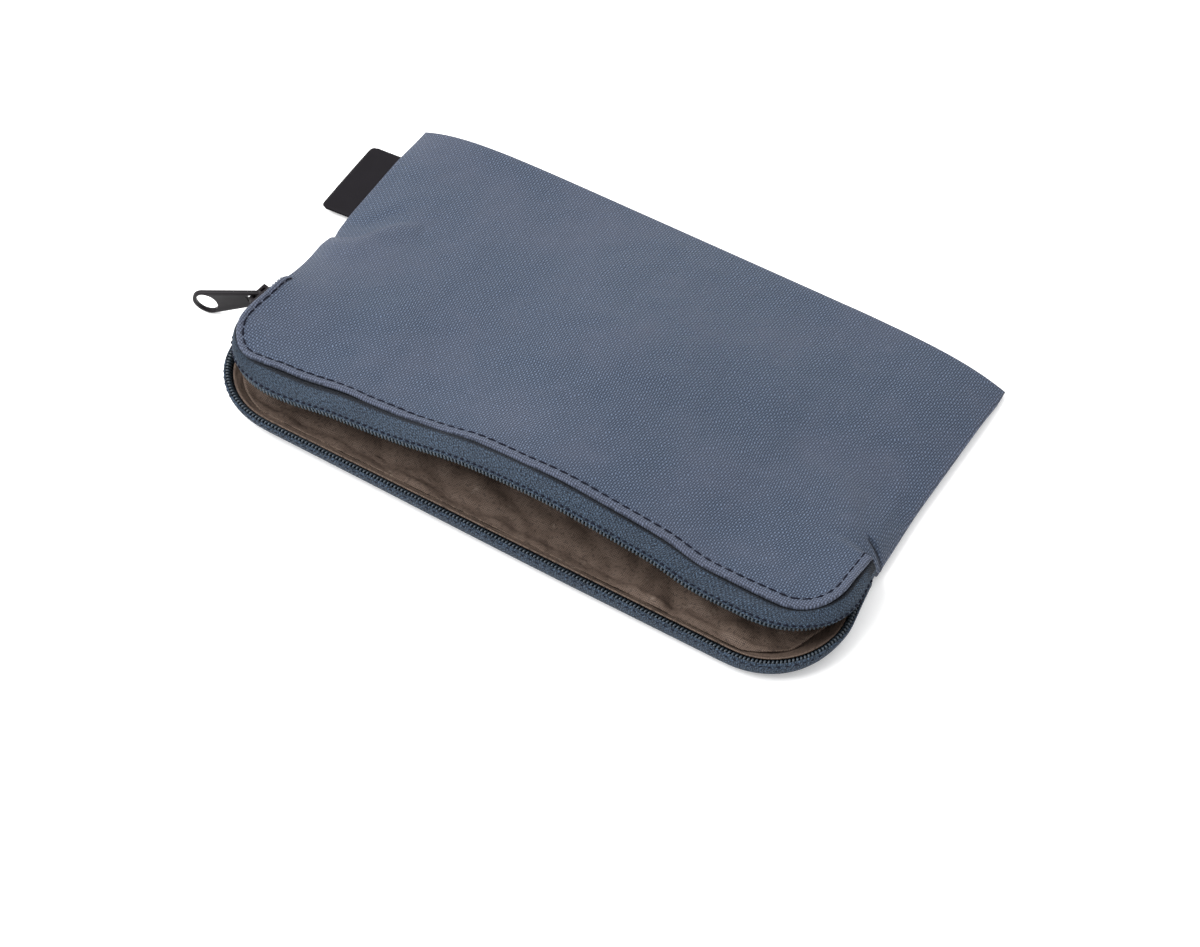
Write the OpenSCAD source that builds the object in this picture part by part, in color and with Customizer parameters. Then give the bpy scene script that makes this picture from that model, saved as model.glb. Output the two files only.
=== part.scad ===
// Zip-around travel pouch in waxed canvas, lying on its back panel with its mouth open.
// Frame: +X along the far seam, +Y away from the mouth, +Z up; the back panel rests on z = 0.
// Plan points are [x, reach], where reach is the distance from the far seam towards the mouth.

/* [Panels] */
// Width of the pouch between its side seams
seam_w = 168.2; // [166:0.2:170]
// Distance of the far seam from the origin
far_y = 53; // [52:0.5:54]
// Thickness of the canvas
cloth_t = 0.9; // [0.7:0.1:1]
// Thickness of the lining
lining_t = 0.35; // [0.3:0.05:0.4]
// Height of the far seam at its middle
far_rise = 7.8; // [7:0.2:9]
// Height of the side seams
seam_rise = 3.1; // [3:0.1:4]
// Height that the upper lip arches above its ends
arch_rise = 6.2; // [4:0.2:7]
// How far along the lip the arch reaches to each side
arch_reach = 34; // [30:1:40]

/* [Zip] */
// Thickness of the zip tapes
tape_t = 0.5; // [0.4:0.1:0.6]
// Radius of a coil bar
coil_r = 0.7; // [0.6:0.05:0.8]
// Length of one top stitch
stitch_len = 2.1; // [1.8:0.1:2.4]
// Distance from one top stitch to the next
stitch_pitch = 3; // [2.8:0.1:3.4]
// Distance of the top stitching from the turned edge
stitch_inset = 3.6; // [3:0.1:4]

/* [Slider and pull tab] */
// Length of the slider
slider_len = 10.4; // [10:0.1:11]
// Width of the slider across the chain
slider_w = 7.6; // [7.4:0.1:8]
// Thickness of the slider over both plates
slider_t = 4.4; // [4.4:0.1:4.8]
// Distance from the pull tab's pivot to the middle of its oval hole
tab_reach = 15.1; // [14:0.1:16]
// Thickness of the pull tab
tab_t = 1.1; // [1:0.1:1.2]
// Half the width of the oval hole, across the tab
oval_across = 3.7; // [3:0.1:3.8]
// Half the length of the oval hole, along the tab
oval_along = 2.5; // [2:0.1:2.8]
// Width of metal left around the oval hole
tab_margin = 0.95; // [0.8:0.05:1]

/* [Label] */
// How far the side label stands out of its seam
label_out = 8.6; // [8:0.2:9]
// Length of the side label along the seam
label_len = 24.5; // [24:0.5:26]

/* [Hidden] */
$fn = 32;

half_w = seam_w / 2;
// Reach of the fold line that the upper lip turns about
fold_reach = 76;
// Height of that fold line
fold_z = 14;
// Reach of the upper panel's turned edge
rim_reach = 93.4;
// Radius of the left and right near corners
left_corner_r = 10;
right_corner_r = 13;
// Place of the arch along the lip
arch_x = 8;
// Height of the lip away from its arch
lip_z = 12.8;
// Height of the mouth's left wall, and how high the right-hand one steps up to
left_wall = 15;
right_wall = 13;
// Left-hand side seam's pinch: reach, length and depth
pinch_reach = 44.5;
pinch_len = 3.2;
pinch_in = 0.9;
// How far the left edge comes in towards the zip, because the cloth lies a little askew
drift = 3.2;
// Free height between cloth and lining
ply_gap = 0.36;

canvas_colour = [0.40, 0.45, 0.53];
tape_colour = [0.24, 0.31, 0.38];
lining_colour = [0.40, 0.33, 0.27];
thread_colour = [0.10, 0.12, 0.18];
coil_colour = [0.07, 0.08, 0.10];
metal_colour = [0.22, 0.21, 0.23];

// Key points of the four edges of the mouth: left end, left corner's start and end,
// right corner's start and end, right end, each [x, reach, z]
front_rim = [[-81.0, 68.5, 14.4], [-82.2, 85.0, 15.1], [-72.4, 93.9, 13.1],
             [73, 93.2, 13], [87, 80.5, 14.4], [86.6, 70, 12.8]];
front_coil = [[-79.6, 68.5, 11.5], [-83.2, 84.6, 10.4], [-64, 100.5, 11.6],
              [70, 99.5, 12], [89.4, 81, 9.2], [87.8, 70, 8]];
back_coil = [[-79.2, 68.7, 7.9], [-83.2, 86, 5.6], [-61.4, 104.9, 5.7],
             [70, 107.4, 6], [90.1, 86, 5.7], [87.2, 71, 5.2]];
back_rim = [[-81.9, 68.5, 0.8], [-82, 84, 0.8], [-62, 102, 0.8],
            [69, 104.2, 0.8], [86.6, 86, 0.8], [85.4, 70, 0.8]];

// Middle of the slider, and the turns that lay its length along the chain
slider_at = [-80.7, 74.8, 9.3];
slider_turn = [91, 6, -102];
// Height of the pull tab's pivot above the middle of the slider
pivot_up = 3.4;
// Turns of the pull tab as it lies
tab_turn = [79.9, 16.9, -158.7];

// ---- small helpers ----
function clamp01(t) = max(0, min(1, t));
function ease(t) = let (c = clamp01(t)) c * c * (3 - 2 * c);
function blend(a, b, t) = a + (b - a) * t;
function place(p) = [p[0], far_y - p[1], p[2]];
function unit(v) = v / max(norm(v), 1e-9);

// ---- heights of the cloth, as functions of x and reach ----
function left_x(reach) = -half_w - 0.1 + pinch_in * exp(-pow((reach - pinch_reach) / pinch_len, 2))
    + drift * ease((reach - 48) / 22) - 1.3 * ease((reach - 72) / 12);
function right_x(reach) = half_w + 0.4 + 1.3 * ease(reach / 5) + 0.9 * ease((reach - 42) / 25);
function side_x(side, reach) = side < 0 ? left_x(reach) : right_x(reach);
function middle(reach) = (right_x(reach) + left_x(reach)) / 2;
function half_at(reach) = (right_x(reach) - left_x(reach)) / 2;
function round_in(r, reach) = let (past = max(0, reach - rim_reach + r))
    r - sqrt(max(0, r * r - past * past));
function reach_w(reach, u) =
    half_at(reach) - round_in(u < 0 ? left_corner_r : right_corner_r, reach);
function lip_height(x) = lip_z + arch_rise * exp(-pow((x - arch_x) / arch_reach, 2));
function low_side(reach) = 1.9 + (seam_rise - 1.9) * ease(reach / 15);
function left_z(reach) = low_side(reach) + (left_wall - seam_rise) * ease((reach - 45) / 30)
    - 1.9 * ease((reach - 84) / 9.4);
// On the right the side seam stays low, then the edge steps up to the zip's end
function right_z(reach) = low_side(reach) + (right_wall - seam_rise) * ease((reach - 66) / 4.2)
    + 1.5 * ease((reach - 70) / 10) - 1.5 * ease((reach - 83) / 10);
function side_height(u, reach) = u < 0 ? left_z(reach) : right_z(reach);
// How squarely the panel turns down at its sides
function side_power(u, reach) = 7 - 1.5 * ease(reach / 20)
    + (u < 0 ? 3 * ease((reach - 36) / 14) : 13 * ease((reach - 46) / 20));
function front_z(x, u, reach) = let (
        up = 1 - pow(1 - clamp01(reach / rim_reach), 2.2),
        mid = far_rise + (lip_height(x) - far_rise) * up,
        edge = side_height(u, reach))
    edge + (mid - edge) * (1 - pow(abs(u), side_power(u, reach)));

// ---- generic solids ----
// A sheet of even thickness on a grid of points; rows run along the first index
function at(g, i, j) = g[max(0, min(len(g) - 1, i))][max(0, min(len(g[0]) - 1, j))];
function grid_normal(g, i, j) = let (
        along = at(g, i, j + 1) - at(g, i, j - 1),
        down = at(g, i + 1, j) - at(g, i - 1, j))
    unit(cross(along, down));
function quad(a, b, c, d) = [[a, b, c], [a, c, d]];
module sheet(g, t) {
    n = len(g);
    m = len(g[0]);
    upper = [for (i = [0:n - 1]) for (j = [0:m - 1]) g[i][j] + grid_normal(g, i, j) * t / 2];
    lower = [for (i = [0:n - 1]) for (j = [0:m - 1]) g[i][j] - grid_normal(g, i, j) * t / 2];
    s = n * m;
    cells = [for (i = [0:n - 2]) for (j = [0:m - 2]) i * m + j];
    top_faces = [for (a = cells) each quad(a, a + m, a + m + 1, a + 1)];
    low_faces = [for (a = cells) each quad(s + a, s + a + 1, s + a + m + 1, s + a + m)];
    row_ends = [for (i = [0:n - 2]) each concat(
        quad(i * m, s + i * m, s + (i + 1) * m, (i + 1) * m),
        quad(i * m + m - 1, (i + 1) * m + m - 1, s + (i + 1) * m + m - 1, s + i * m + m - 1))];
    col_ends = [for (j = [0:m - 2]) each concat(
        quad(j, j + 1, s + j + 1, s + j),
        quad((n - 1) * m + j, s + (n - 1) * m + j, s + (n - 1) * m + j + 1, (n - 1) * m + j + 1))];
    polyhedron(concat(upper, lower), concat(top_faces, low_faces, row_ends, col_ends), convexity = 10);
}

// A round bar swept along a list of points
bar_sides = 8;
function tangent(p, i) = unit(p[min(len(p) - 1, i + 1)] - p[max(0, i - 1)]);
function across(v) = unit(cross(v, [0, 0, 1]));
module bar(p, r) {
    n = len(p);
    rings = [for (i = [0:n - 1]) let (v = tangent(p, i), a = across(v), b = cross(a, v))
        for (k = [0:bar_sides - 1]) let (q = k * 360 / bar_sides) p[i] + r * (cos(q) * a + sin(q) * b)];
    sides = [for (i = [0:n - 2]) for (k = [0:bar_sides - 1])
        let (a = i * bar_sides + k, b = i * bar_sides + (k + 1) % bar_sides)
        each quad(a, b, b + bar_sides, a + bar_sides)];
    start = [[for (k = [bar_sides - 1:-1:0]) k]];
    end = [[for (k = [0:bar_sides - 1]) (n - 1) * bar_sides + k]];
    polyhedron(rings, concat(sides, start, end), convexity = 10);
}

// One stitch: a flat six-sided thread from a to b, lying on a surface whose normal is up
module stitch(a, b, up, w = 0.5, t = 0.22) {
    s = unit(cross(b - a, up)) * w / 2;
    m = (a + b) / 2 + up * t;
    q = (b - a) / 5;
    polyhedron(
        [a, a + q * 0.8 - s, b - q * 0.8 - s, b, b - q * 0.8 + s, a + q * 0.8 + s, m - q, m + q],
        [[0, 6, 1], [1, 6, 7], [1, 7, 2], [2, 7, 3], [3, 7, 4], [4, 7, 6], [4, 6, 5], [5, 6, 0],
         [0, 1, 5], [1, 2, 5], [2, 4, 5], [2, 3, 4]]);
}

// ---- panels and linings ----
reach_rows = [0, 1.6, 4, 8, 14, 22, 31, 40, 45, 50, 56, 60, 63, 66, 67.4, 68.6, 70.2, 72];
lip_rows = [fold_reach + 0.2, 79, 81.5, 84, 86.5, 88.8, 90.6, 92, 92.9, rim_reach];
columns = 26;
function u_list() = [for (j = [0:columns]) let (t = 2 * j / columns - 1) sin(90 * t) * 0.45 + t * 0.55];
// The fixed panel's near edge stands back where the lip turns above its fold line
function near_edge(x, u) = fold_reach - 0.5 - 0.95 * max(0, front_z(x, u, fold_reach) - fold_z + 0.4);
function front_point(u, reach, inset, drop) = let (
        r = reach_w(reach, u),
        s = u * (r - inset) / r,
        x = middle(reach) + s * r)
    place([x, reach, front_z(x, s, reach) - drop]);
function front_grid(rows, inset, drop) =
    [for (reach = rows) [for (u = u_list()) front_point(u, reach, inset, drop)]];
function panel_grid(rows, inset, drop) = concat(front_grid(rows, inset, drop),
    [[for (u = u_list()) let (x = middle(fold_reach) + u * half_at(fold_reach))
        front_point(u, max(72.6, near_edge(x, u)), inset, drop)]]);

lining_drop = cloth_t / 2 + ply_gap + lining_t / 2 + 0.05;
lining_inset = 6;

module front_panel() color(canvas_colour) sheet(panel_grid(reach_rows, 0, cloth_t / 2), cloth_t);
module front_lip() color(canvas_colour) sheet(front_grid(lip_rows, 0, cloth_t / 2), cloth_t);
// The lining stops short of the far seam's allowance
lining_rows = concat([5], [for (reach = reach_rows) if (reach > 6) reach]);
module front_lining() color(lining_colour)
    sheet(panel_grid(lining_rows, lining_inset, cloth_t / 2 + lining_drop), lining_t);
lip_lining_rows = [fold_reach + 0.2, 79, 81.5, 84, 86.5, 88.4, 89.6];
module front_lip_lining() color(lining_colour)
    sheet(front_grid(lip_lining_rows, lining_inset + 0.5, cloth_t / 2 + lining_drop), lining_t);

// The back panel lies flat, turns up at its sides and wraps up to the far seam
wrap = [[0.6, far_rise - 1.5], [-0.9, 4.6], [-0.9, 2.2], [0.6, 0.7], [3, 0.45]];
// The wrap stays just below the front panel's far edge
function wrap_share(u) = clamp01((front_z(u * half_w, u, 0) - 1.95) / (far_rise - 1.95));
back_rows = [7, 14, 24, 34, 44, 48, 52, 55, 58, 60.5, 62.5, 64.5, 66.5, 69, 72, 79, 84];
function back_w(reach) = let (t = clamp01((reach - 84) / 19))
    half_at(reach) - 0.4 + 0.3 * ease((reach - 60) / 20) - 20 * (1 - sqrt(max(0, 1 - t * t)));
near_rows = [for (k = [0:6]) 84 + 18.9 * sin(90 * k / 6)];
function lean(x, reach) = 0.0145 * x * ease((reach - 84) / 19);
// Its side edges follow the front panel's up to the zip's ends
function back_side_z(u, reach) = 0.45 + 0.5 * ease(reach / 15) * (1 - ease((reach - 63) / 6))
    + (u < 0 ? max(0, left_z(reach) - 3.3) * (1 - ease((reach - 62) / 6)) : 0);
function back_point(u, reach, inset, lift) = let (
        w = back_w(reach),
        s = u * (w - inset) / w,
        x = middle(reach) + s * w,
        z = 0.45 + (back_side_z(u, reach) - 0.45) * pow(abs(s), 16) + 0.35 * ease((reach - 92) / 6))
    place([x, reach + lean(x, reach), z + lift]);
function wrap_point(k, u, inset, lift) = let (
        x = u * (half_w - 0.4 - inset), s = wrap_share(u),
        z = 0.45 + (wrap[k][1] - 0.45) * s)
    place([x, blend(0.4 + k * 0.5, wrap[k][0], s) + lift * s, z]);
function back_grid(inset, lift) = concat(
    [for (k = [0:4]) [for (u = u_list()) wrap_point(k, u, inset, lift)]],
    [for (reach = concat(back_rows, near_rows)) [for (u = u_list()) back_point(u, reach, inset, lift)]]);

module back_panel() color(canvas_colour) sheet(back_grid(0, 0), cloth_t);
// The lining stands further off where the panel's side drops at the zip's ends
function back_stand(reach) = lining_drop + 1.1 * exp(-pow((reach - 65) / 3.5, 2));
module back_lining() color(lining_colour)
    sheet([for (reach = concat(back_rows, near_rows)) [for (u = u_list())
        back_point(u, reach - 2 * ease((reach - 86) / 12), lining_inset,
            blend(lining_drop, back_stand(reach), abs(u)))]], lining_t);

// ---- zip: every edge of the mouth is a path with the same number of points ----
run_steps = 6;
corner_steps = 9;
front_steps = 26;
function run(a, b) = [for (k = [0:run_steps - 1]) blend(a, b, k / run_steps)];
// Quarter ellipse from a, heading along the sides, to b, heading along the front
function corner_in(a, b) = [for (k = [0:corner_steps - 1]) let (q = 90 * k / corner_steps)
    [b[0] + (a[0] - b[0]) * cos(q), a[1] + (b[1] - a[1]) * sin(q), blend(a[2], b[2], ease(q / 90))]];
function corner_out(a, b) = [for (k = [0:corner_steps - 1]) let (q = 90 * k / corner_steps)
    [a[0] + (b[0] - a[0]) * sin(q), b[1] + (a[1] - b[1]) * cos(q), blend(a[2], b[2], ease(q / 90))]];
function front(a, b) = [for (k = [0:front_steps - 1]) blend(a, b, k / front_steps)];
function arch(x, h) = h * exp(-pow((x - arch_x) / arch_reach, 2));
function mouth_path(key, h) = [for (p = concat(
        run(key[0], key[1]), corner_in(key[1], key[2]), front(key[2], key[3]),
        corner_out(key[3], key[4]), run(key[4], key[5]), [key[5]]))
    place([p[0], p[1], p[2] + (p[1] > 90 ? arch(p[0], h) : 0)])];
path_len = 2 * run_steps + 2 * corner_steps + front_steps;
front_rim_path = mouth_path(front_rim, arch_rise);
front_coil_path = mouth_path(front_coil, arch_rise * 0.98);
back_coil_path = mouth_path(back_coil, 0);
back_rim_path = mouth_path(back_rim, 0);
// The lip's zip starts past the slider's travel on the left and at the fold on the right
lip_start = 7;
lip_end = path_len - 5;
left_end_stop = lip_start - 1;
right_end_start = path_len - 4;
function part_of(p, a, b) = [for (i = [a:b]) p[i]];

// A tape from the coil to just short of the panel's edge, bowed outwards
tape_steps = 5;
function tape_grid(coil, rim, a, b, from, to, bow, rise) = [for (k = [0:tape_steps])
    let (t = blend(from, to, k / tape_steps)) [for (i = [a:b]) let (
        out = across(tangent(rim, i)))
        blend(coil[i], rim[i], t) + out * bow * fullness(coil[i][0]) * sin(180 * t)
            - [0, 0, rise * sin(180 * t)]]];
// The bow is full at the right-hand side and slight at the left
function fullness(x) = 0.25 + 0.75 * ease((x + 80) / 110);
front_bow = 0.5;
back_bow = 2.3;
back_sink = 1.3;
front_sink = -0.3;
function front_tape(a, b, to) =
    tape_grid(front_coil_path, front_rim_path, a, b, 0.1, to, front_bow, front_sink);
module zip_tape_front() color(tape_colour) sheet(front_tape(lip_start, lip_end, 0.9), tape_t);
module zip_tape_back() color(tape_colour)
    sheet(tape_grid(back_coil_path, back_rim_path, 0, path_len, 0.08, 0.82, back_bow, back_sink), tape_t);
module zip_tape_front_ends() color(tape_colour) {
    sheet(tape_grid(front_coil_path, front_rim_path, 0, left_end_stop, 0.1, 0.3, 0, 0), tape_t);
    sheet(front_tape(right_end_start, path_len, 0.72), tape_t);
}
function front_coil_line(a, b) = coil_line(front_coil_path, front_rim_path, a, b);
module zip_coil_front() color(coil_colour) bar(front_coil_line(lip_start, lip_end), coil_r);
module zip_coil_back() color(coil_colour)
    bar(coil_line(back_coil_path, back_rim_path, 0, path_len), coil_r);
module zip_coil_front_ends() color(coil_colour) {
    bar(front_coil_line(0, left_end_stop), coil_r);
    bar(front_coil_line(right_end_start, path_len), coil_r);
}
// The coil sits just past the tape's edge
function coil_line(coil, rim, a, b) = [for (i = [a:b]) coil[i] + unit(coil[i] - rim[i]) * 0.45];

// Points at even spacing along a path
function path_length(p, i = 0) = i >= len(p) - 1 ? 0 : norm(p[i + 1] - p[i]) + path_length(p, i + 1);
function walk(p, s, i = 0) = i >= len(p) - 2 || s <= norm(p[i + 1] - p[i])
    ? let (n = norm(p[min(i + 1, len(p) - 1)] - p[i])) blend(p[i], p[i + 1], clamp01(s / n))
    : walk(p, s - norm(p[i + 1] - p[i]), i + 1);
module stitch_row(p, up, length, pitch, w = 0.5, t = 0.22) {
    total = path_length(p);
    for (k = [0:floor((total - length) / pitch)])
        stitch(walk(p, k * pitch + 0.3), walk(p, k * pitch + 0.3 + length), up, w, t);
}

// ---- threads ----
// Top stitching runs inside the turned edge, on the cloth
function inside(rim, a, b, inset, lift) = [for (i = [a:b])
    let (out = across(tangent(rim, i))) rim[i] - out * inset + [0, 0, lift]];
function on_front(p) = let (reach = far_y - p[1], off = p[0] - middle(reach))
    [p[0], p[1], front_z(p[0], off / reach_w(reach, off), reach) + 0.06];
module topstitch_front() color(thread_colour)
    stitch_row([for (p = inside(front_rim_path, 6, path_len - 6, stitch_inset, 0)) on_front(p)],
        [0, 0, 1], stitch_len, stitch_pitch);
module topstitch_front_ends() color(thread_colour) {
    stitch_row([for (p = inside(front_rim_path, 0, 2, stitch_inset, 0)) on_front(p)],
        [0, 0, 1], stitch_len, stitch_pitch);
    stitch_row([for (p = inside(front_rim_path, path_len - 3, path_len, stitch_inset, 0)) on_front(p)],
        [0, 0, 1], stitch_len, stitch_pitch);
}
module topstitch_back() color(thread_colour)
    stitch_row([for (p = inside(back_rim_path, 18, path_len - 18, 1.6, 0)) [p[0], p[1], 0.28]],
        [0, 0, -1], stitch_len, stitch_pitch);
// Sewing that holds each coil on its tape
sewing_pitch = 2.6;
module sewing(coil, rim, a, b, share, push, lift) color(thread_colour)
    stitch_row([for (i = [a:b]) blend(coil[i], rim[i], share) + across(tangent(rim, i)) * push
        + [0, 0, lift]], [0, 0, 1], 1.2, sewing_pitch, 0.3, 0.15);
module tape_sewing_front()
    sewing(front_coil_path, front_rim_path, lip_start + 1, lip_end - 1, 0.33, 0.95, 0.62);
function sewing_back_path() = [for (i = [2:path_len - 2]) let (out = across(tangent(back_rim_path, i)))
    blend(back_coil_path[i], back_rim_path[i], 0.25)
        + out * (back_bow * 0.707 * fullness(back_coil_path[i][0]) + 0.4) - [0, 0, back_sink * 0.707]];
module tape_sewing_back() color(thread_colour)
    stitch_row(sewing_back_path(), [0, 0, 1], 1.2, sewing_pitch, 0.3, 0.15);
// Seams between the two panels, in the narrow space between their turned edges
seam_z = 1.45;
module seam_thread_far() color(thread_colour)
    stitch_row([for (t = [-0.72:0.09:0.72]) place([t * half_w, 1.9, wrap_seam_z(t)])],
        [0, 0, 1], stitch_len, stitch_pitch, 0.3, 0.15);
function wrap_seam_z(u) = front_z(u * half_w, u, 1.9) - cloth_t - 0.35;
module seam_thread_side(side) color(thread_colour)
    stitch_row([for (reach = [18:4:42]) place([side_x(side, reach) - side * 0.5, reach, seam_z + 0.05])],
        [0, 0, 1], stitch_len, stitch_pitch, 0.3, 0.1);
module seam_thread_left() seam_thread_side(-1);
module seam_thread_right() seam_thread_side(1);
// Close strands of thread that join both tapes at each end of the zip
strand_count = 6;
module bartack(coil_a, coil_b, at_end, step) color(thread_colour)
    for (k = [0:strand_count - 1]) {
        a = place(coil_a) + [0, step * (k + 1), -0.7];
        b = place(coil_b) + [0, step * (k + 1), 0];
        stitch(a + at_end, b + at_end, [0, 1, 0], 0.5, 0.5);
    }
module bartack_left() bartack(front_coil[0], back_coil[0], [-0.3, 0.3, 0], 0.62);
module bartack_right() bartack(front_coil[5], back_coil[5], [0.3, 0.5, 0], 0.62);

// ---- side label ----
label_reach = 10.5;
label_t = 0.6;
label_z = 1.1;
label_r = 2.2;
module label_outline() {
    translate([-label_out, label_r]) square([label_out + 0.4, label_len - 2 * label_r]);
    translate([-label_out + label_r, 0]) square([label_out - label_r + 0.4, label_len]);
    for (y = [label_r, label_len - label_r]) translate([-label_out + label_r, y]) circle(label_r);
}
module side_label() color([0.13, 0.12, 0.14])
    translate([-half_w - 0.6, far_y - label_reach - label_len, label_z])
        linear_extrude(label_t) label_outline();

// ---- slider: local x along the chain, y across it, z outwards ----
plate_t = 0.9;
channel_t = slider_t - 2 * plate_t;
flange_gap = 1.6;
flange_t = 0.8;
bridge_w = 2;
bridge_t = 0.8;
bridge_len = 5.7;
bridge_clear = 1.3;
module plate_solid() {
    outline = [for (k = [0:12]) let (q = 90 + 180 * k / 12)
        [-slider_len / 2 + 2.9 + 2.9 * cos(q), 2.9 * sin(q)]];
    linear_extrude(plate_t) polygon(concat(outline, [
        [-1.2, -slider_w / 2], [slider_len / 2 - 1, -slider_w / 2], [slider_len / 2, 1 - slider_w / 2],
        [slider_len / 2, slider_w / 2 - 1], [slider_len / 2 - 1, slider_w / 2], [-1.2, slider_w / 2]]));
}
module flange(side) translate([-1.2, side > 0 ? slider_w / 2 - flange_t : -slider_w / 2, 0])
    cube([slider_len / 2 + 0.2, flange_t, (channel_t - flange_gap) / 2 + 0.01]);
module slider_body() color(metal_colour) translate(place(slider_at)) rotate(slider_turn) {
    translate([0, 0, channel_t / 2]) plate_solid();
    translate([0, 0, -channel_t / 2 - plate_t]) plate_solid();
    for (side = [-1, 1]) {
        translate([0, 0, -channel_t / 2]) flange(side);
        translate([0, 0, flange_gap / 2]) flange(side);
    }
    translate([slider_len / 2 - 1.1, -0.45, -channel_t / 2 - 0.01]) cube([1.1, 0.9, channel_t + 0.02]);
    bridge();
}
module bridge() {
    top = pivot_up + bridge_clear;
    difference() {
        translate([-bridge_len / 2, -bridge_w / 2, slider_t / 2 - 0.05])
            cube([bridge_len, bridge_w, top + bridge_t - slider_t / 2 + 0.05]);
        translate([-bridge_len / 2 + bridge_t, -bridge_w, slider_t / 2 - 1])
            cube([bridge_len - 2 * bridge_t, 2 * bridge_w, top - slider_t / 2 + 1]);
    }
    translate([-bridge_len / 2, -bridge_w / 2, slider_t / 2 - 0.1]) cube([bridge_t, bridge_w, 0.2]);
}

// ---- pull tab: local x from the pivot along the tab, y across it ----
tab_tail = 0.8;
tab_root_w = 5.4;
slot_near = 0.9;
slot_far = 3.9;
slot_w = 3.6;
function oval(a, b, at_x, from, to, n) = [for (k = [0:n]) let (q = blend(from, to, k / n))
    [at_x + a * cos(q), b * sin(q)]];
module tab_outline() polygon(concat(
    oval(oval_along + tab_margin, oval_across + tab_margin, tab_reach, -90, 90, 28),
    [[1.4, tab_root_w / 2], [0, tab_root_w / 2 - 0.4], [-tab_tail, tab_root_w / 2 - 1.4],
     [-tab_tail, 1.4 - tab_root_w / 2], [0, 0.4 - tab_root_w / 2], [1.4, -tab_root_w / 2]]));
module pull_tab() color(metal_colour)
    translate(place(slider_at)) rotate(slider_turn) translate([0, 0, pivot_up])
        rotate([-slider_turn[0], 0, 0]) rotate([0, -slider_turn[1], 0]) rotate([0, 0, -slider_turn[2]])
            rotate(tab_turn) translate([0, 0, -tab_t / 2]) linear_extrude(tab_t) difference() {
                tab_outline();
                polygon(oval(oval_along, oval_across, tab_reach, 0, 354, 59));
                translate([slot_near, -slot_w / 2]) square([slot_far - slot_near, slot_w]);
            }

back_panel();
back_lining();
front_panel();
front_lining();
front_lip();
front_lip_lining();
zip_tape_back();
zip_coil_back();
tape_sewing_back();
zip_tape_front();
zip_coil_front();
tape_sewing_front();
zip_tape_front_ends();
zip_coil_front_ends();
topstitch_front();
topstitch_front_ends();
topstitch_back();
seam_thread_far();
seam_thread_left();
seam_thread_right();
bartack_left();
bartack_right();
side_label();
slider_body();
pull_tab();
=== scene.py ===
"""Looks of a zip-around travel pouch in waxed canvas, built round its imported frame."""

import math

import bpy
import numpy as np
from mathutils import Matrix, Vector


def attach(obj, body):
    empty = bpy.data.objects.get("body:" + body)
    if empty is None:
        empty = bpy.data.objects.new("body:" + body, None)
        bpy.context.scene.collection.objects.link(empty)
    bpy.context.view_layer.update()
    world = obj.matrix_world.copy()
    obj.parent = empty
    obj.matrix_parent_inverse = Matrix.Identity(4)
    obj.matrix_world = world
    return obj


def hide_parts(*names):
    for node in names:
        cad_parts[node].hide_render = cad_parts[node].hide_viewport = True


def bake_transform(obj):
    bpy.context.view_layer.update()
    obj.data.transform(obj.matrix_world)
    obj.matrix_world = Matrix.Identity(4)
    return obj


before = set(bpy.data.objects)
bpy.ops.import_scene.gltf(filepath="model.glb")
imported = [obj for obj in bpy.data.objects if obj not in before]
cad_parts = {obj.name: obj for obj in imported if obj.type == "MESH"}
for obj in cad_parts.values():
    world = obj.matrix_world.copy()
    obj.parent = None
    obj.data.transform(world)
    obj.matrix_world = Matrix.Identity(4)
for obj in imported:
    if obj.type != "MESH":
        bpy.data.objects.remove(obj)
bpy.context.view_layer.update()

MM = 0.001
FAR_Y = 53.0  # how far back the far seam lies from the frame's origin, in mm, as all that follows
FAR_RISE = 7.8  # height of the far seam at its middle
RIM_REACH = 93.4  # reach of the upper panel's free edge from the far seam
HALF_WIDTH = 84.5  # half the upper panel's width
ARCH_X, ARCH_REACH, ARCH_RISE = 8.0, 34.0, 6.2  # the lip's arch: middle, spread and rise
CLOTH_T, BACK_T, LINING_T, TAPE_T = 0.9, 0.86, 0.35, 0.45  # thicknesses
BACK_MID = 0.45  # mid-height of the back panel where it lies flat
HEM_PITCH = 2.9  # top stitching
HEM_LIFT = 0.30  # how much the turned edge stands over the single cloth
TAPE_DROP = 1.35  # from the lip's top down to the upper tape's root

# Key points of the mouth's four edges, as plan x, reach from the far seam, and height, in mm
FRONT_RIM = [(-81.0, 68.5, 14.2), (-82.2, 85.6, 15.0), (-72.8, 94.3, 13.1),
             (73, 93.2, 13), (87, 80.5, 14.4), (86.6, 70, 12.8)]
FRONT_COIL = [(-79.6, 68.5, 11.5), (-82.8, 84.6, 10.4), (-64, 100.5, 11.6),
              (70, 99.5, 12), (89.4, 81, 9.2), (87.8, 70, 8)]
BACK_COIL = [(-79.2, 68.7, 7.9), (-83.8, 86, 5.6), (-63, 105.6, 5.7),
             (70, 107.4, 6), (90.1, 86, 5.7), (87.2, 71, 5.2)]
BACK_RIM = [(-81.9, 68.5, 0.8), (-82, 84, 0.8), (-62, 102, 0.8),
            (69, 104.2, 0.8), (86.6, 86, 0.8), (86, 70, 0.8)]
PATH_RUN, PATH_TURN, PATH_FRONT = 24, 36, 156  # steps along a side, round a corner, along the front

# Folds of the upper panel, as plan points
PINCH_FOLD = [(-85, 45.3), (-79, 46.8), (-75.2, 46.3), (-72.8, 43.6), (-70.8, 40.4), (-68, 37), (-63, 34)]
PINCH_HOLLOW = [(-85, 39), (-78, 38.5), (-74, 35), (-70, 30)]
EAR_CREASE = [(81.8, 62.4), (83.6, 63.0), (85.4, 63.9), (87.4, 65.6)]
EAR_RIDGE = [(78, 40), (82.6, 55), (83.6, 63)]
EAR_HOLLOW = [(72, 48), (80, 60), (82.6, 64)]

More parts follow.
